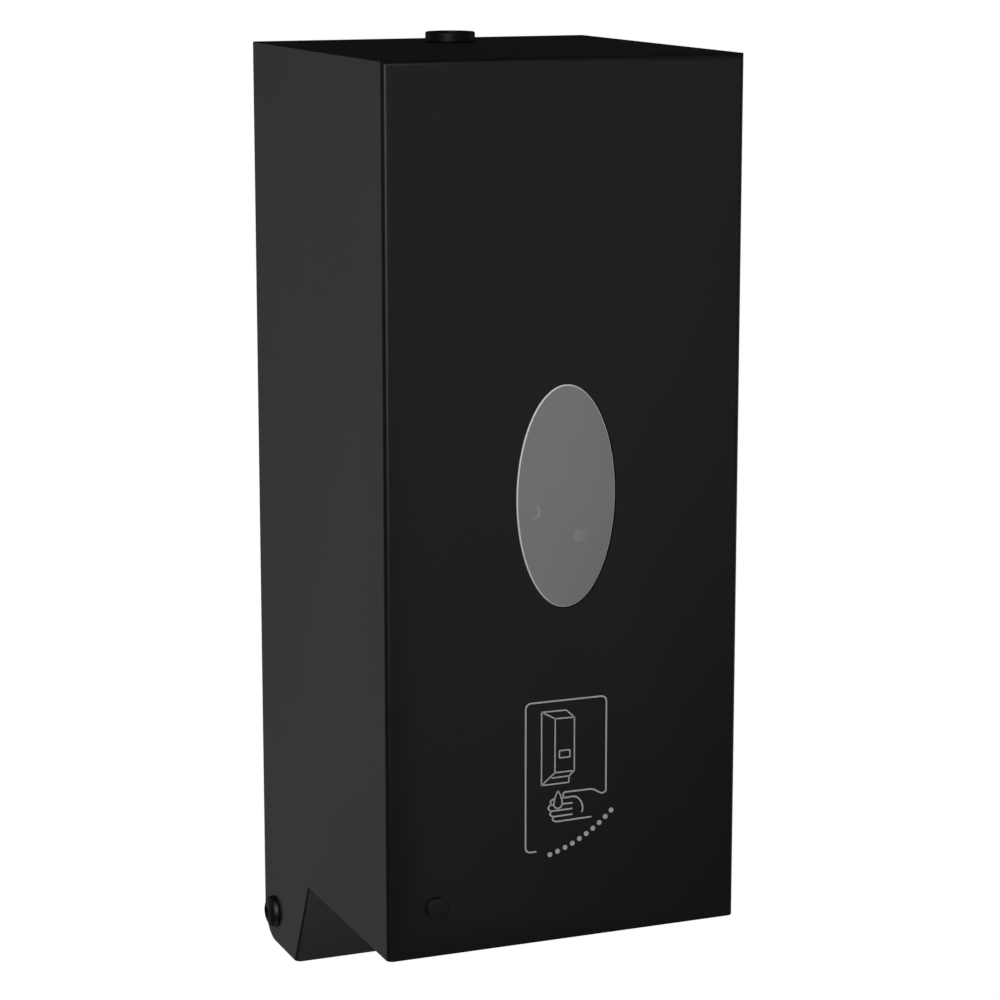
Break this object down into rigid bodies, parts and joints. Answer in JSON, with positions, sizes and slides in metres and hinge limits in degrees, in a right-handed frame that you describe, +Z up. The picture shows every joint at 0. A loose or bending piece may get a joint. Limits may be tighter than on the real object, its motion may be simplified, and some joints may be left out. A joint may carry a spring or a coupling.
{
  "type": "wall mounted soap dispenser",
  "caption": "Automatic wall soap dispenser: black folded steel cover with an oval window tilts down off a back plate that carries a tank, hose pump, sensor and batteries.",
  "frame": {"origin": "middle of the back plate's rear face, on the wall", "axes": "+Z up along the wall, +Y into the wall, +X to the right seen from the room; the front panel faces -Y"},
  "size_m": [0.1224, 0.1244, 0.3033],
  "materials": {
    "black_coat": "matt black powder coat on folded sheet steel",
    "milky_window": "milky translucent sheet, smooth",
    "black_plastic": "moulded, fine texture",
    "black_steel": "blackened screw steel, satin",
    "stainless": "brushed",
    "zinc_steel": "zinc plated, satin",
    "tank_plastic": "translucent natural polythene",
    "grey_plastic": "moulded",
    "white_acetal": "machined, satin",
    "silicone": "clear, smooth",
    "sensor_plastic": "dark infrared filter, polished",
    "cell_wrap": "printed film, glossy",
    "board_green": "solder resist over glass laminate",
    "wire_red": "wire insulation",
    "red_plastic": "moulded",
    "print_grey": "screen printed lines on the front"
  },
  "bodies": {
    "base": {"back_plate": "stainless", "latch_bracket": "zinc_steel", "pivot_bush_left": "black_plastic", "pivot_bush_right": "black_plastic", "pivot_screw_left": "black_steel", "pivot_screw_right": "black_steel", "pivot_nut_left": "zinc_steel", "pivot_nut_right": "zinc_steel", "tank_shelf": "stainless", "pump_deck": "zinc_steel", "pump_spacer_1": "zinc_steel", "pump_spacer_2": "zinc_steel", "pump_spacer_3": "zinc_steel", "pump_cup": "grey_plastic", "motor": "stainless", "outlet_socket": "grey_plastic", "pump_tube": "silicone", "front_carrier": "grey_plastic", "nozzle": "black_plastic", "sensor_eye": "black_plastic", "sensor_window": "sensor_plastic", "battery_box": "black_plastic", "battery_1": "cell_wrap", "battery_2": "cell_wrap", "battery_3": "cell_wrap", "battery_4": "cell_wrap", "battery_contact_right": "stainless", "circuit_board": "board_green", "control_chip": "black_plastic", "cable_connector": "white_acetal", "capacitor": "black_plastic", "switch_case": "stainless", "button_case": "black_plastic", "motor_lead": "wire_red"},
    "cover": {"cover_shell": "black_coat", "window_pane": "milky_window", "window_frame": "stainless", "indicator_lens": "black_plastic", "indicator_clip": "stainless", "lock_housing": "black_plastic", "lock_nut": "zinc_steel"},
    "lock": {"lock_plug": "black_steel", "lock_cam": "zinc_steel", "cam_screw": "zinc_steel"},
    "battery_door": {"battery_door": "black_plastic", "battery_contact_left": "stainless"},
    "switch": {"switch_knob": "white_acetal"},
    "button": {"dose_button": "red_plastic"},
    "rotor": {"pump_shaft": "stainless", "pump_rotor": "white_acetal", "drive_gear": "white_acetal"},
    "roller_1": {"pump_roller_1": "stainless"},
    "roller_2": {"pump_roller_2": "stainless"},
    "roller_3": {"pump_roller_3": "stainless"},
    "pinion": {"motor_pinion": "white_acetal"},
    "tank": {"soap_tank": "tank_plastic", "outlet_valve": "white_acetal", "lid_pin": "stainless"},
    "lid": {"tank_lid": "tank_plastic"}
  },
  "joints": [
    {"name": "cover_hinge", "type": "hinge", "parent": "base", "child": "cover", "pos_m": [0, -0.0114, -0.1396], "axis": [1, 0, 0], "range_deg": [0, 90]},
    {"name": "lock_turn", "type": "hinge", "parent": "cover", "child": "lock", "pos_m": [0, -0.027, 0.15], "axis": [0, 0, -1], "range_deg": [0, 90]},
    {"name": "battery_door_slide", "type": "slide", "parent": "base", "child": "battery_door", "axis": [0, 0, 1], "range_m": [0, 0.009]},
    {"name": "switch_slide", "type": "slide", "parent": "base", "child": "switch", "axis": [0, -1, 0], "range_m": [0, 0.005]},
    {"name": "button_press", "type": "slide", "parent": "base", "child": "button", "axis": [1, 0, 0], "range_m": [0, 0.0008], "stiffness_N_per_m": 400, "springref_m": -0.001},
    {"name": "rotor_spin", "type": "hinge", "parent": "base", "child": "rotor", "pos_m": [0.012, -0.066, -0.118], "axis": [0, 0, 1], "continuous": true},
    {"name": "pinion_spin", "type": "hinge", "parent": "base", "child": "pinion", "pos_m": [-0.0072, -0.066, -0.099], "axis": [0, 0, 1], "continuous": true},
    {"name": "roller_1_spin", "type": "hinge", "parent": "rotor", "child": "roller_1", "pos_m": [0.026, -0.066, -0.118], "axis": [0, 0, 1], "continuous": true},
    {"name": "roller_2_spin", "type": "hinge", "parent": "rotor", "child": "roller_2", "pos_m": [0.005, -0.05388, -0.118], "axis": [0, 0, 1], "continuous": true},
    {"name": "roller_3_spin", "type": "hinge", "parent": "rotor", "child": "roller_3", "pos_m": [0.005, -0.07812, -0.118], "axis": [0, 0, 1], "continuous": true},
    {"name": "tank_lift", "type": "slide", "parent": "base", "child": "tank", "axis": [0, 0, 1], "range_m": [0, 0.015]},
    {"name": "lid_hinge", "type": "hinge", "parent": "tank", "child": "lid", "pos_m": [-0.022, -0.06, 0.093], "axis": [0, -1, 0], "range_deg": [0, 100]}
  ],
  "couplings": [
    {"joint": "pinion_spin", "follows": "rotor_spin", "ratio": -3},
    {"joint": "roller_1_spin", "follows": "rotor_spin", "ratio": -4.5},
    {"joint": "roller_2_spin", "follows": "rotor_spin", "ratio": -4.5},
    {"joint": "roller_3_spin", "follows": "rotor_spin", "ratio": -4.5}
  ]
}
